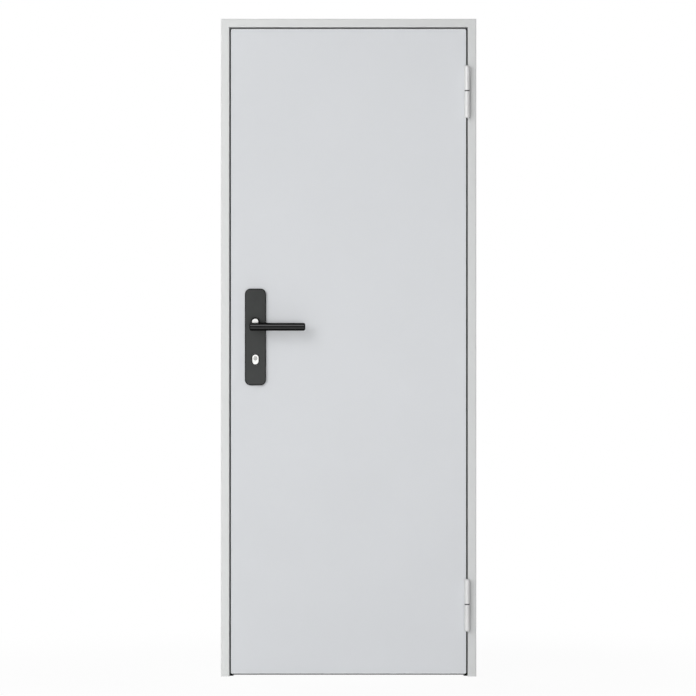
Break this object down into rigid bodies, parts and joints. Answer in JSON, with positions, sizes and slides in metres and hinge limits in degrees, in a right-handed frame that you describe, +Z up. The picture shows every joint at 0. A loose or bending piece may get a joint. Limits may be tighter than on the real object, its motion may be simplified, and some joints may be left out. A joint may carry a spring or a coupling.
{
  "type": "steel fire door with frame",
  "caption": "Single-leaf steel fire door in a folded steel frame, with lift-off barrel hinges, long backplates and lever handles.",
  "frame": {"origin": "middle of the underside of the foot plate in the hinge jamb, on the floor", "axes": "+Z up; +X from the lock side to the hinge side; +Y from the front, which opens, to the back of the frame"},
  "size_m": [0.8001, 0.187, 2.06],
  "materials": {
    "frame_paint": "satin powder coat, pale grey",
    "leaf_paint": "satin powder coat, pale grey",
    "galvanised": "galvanised, dull",
    "wool": "dense mineral wool board",
    "seal": "matt black",
    "fire_strip": "graphite strip, matt",
    "steel": "satin steel",
    "hinge_steel": "satin, bright",
    "handle_black": "charcoal, fine satin",
    "cap_metal": "satin, pale",
    "cylinder_metal": "satin nickel",
    "ring_metal": "dark bearing steel"
  },
  "bodies": {
    "frame": {"hinge_jamb": "frame_paint", "lock_jamb": "frame_paint", "head": "frame_paint", "hinge_foot_plate": "galvanised", "lock_foot_plate": "galvanised", "hinge_wall_anchors": "galvanised", "lock_wall_anchors": "galvanised", "strike_plate": "steel", "strike_box": "galvanised", "hinge_smoke_gasket": "seal", "lock_smoke_gasket": "seal", "head_smoke_gasket": "seal", "hinge_fire_strip": "fire_strip", "lock_fire_strip": "fire_strip", "head_fire_strip": "fire_strip", "lower_hinge_frame_half": "hinge_steel", "lower_hinge_pin": "steel", "lower_hinge_ring": "ring_metal", "upper_hinge_frame_half": "hinge_steel", "upper_hinge_pin": "steel", "upper_hinge_ring": "ring_metal"},
    "leaf": {"leaf_front_skin": "leaf_paint", "leaf_back_skin": "leaf_paint", "leaf_core": "wool", "bottom_seal": "seal", "dog_bolts": "steel", "lock_case": "galvanised", "lock_forend": "steel", "latch_bolt": "steel", "dead_bolt": "steel", "lock_cylinder": "cylinder_metal", "front_backplate": "handle_black", "rear_backplate": "handle_black", "lower_hinge_leaf_half": "hinge_steel", "upper_hinge_leaf_half": "hinge_steel"},
    "levers": {"front_lever": "handle_black", "rear_lever": "handle_black", "front_hub_cap": "cap_metal", "rear_hub_cap": "cap_metal", "spindle": "steel"}
  },
  "joints": [
    {"name": "leaf_swing", "type": "hinge", "parent": "frame", "child": "leaf", "pos_m": [-0.00925, -0.0765, 1.03], "axis": [0, 0, 1], "range_deg": [0, 170]},
    {"name": "lever_turn", "type": "hinge", "parent": "leaf", "child": "levers", "pos_m": [-0.67175, -0.0335, 1.1107], "axis": [0, 1, 0], "range_deg": [0, 40], "stiffness_Nm_per_rad": 1.5, "springref_deg": -28.65}
  ]
}
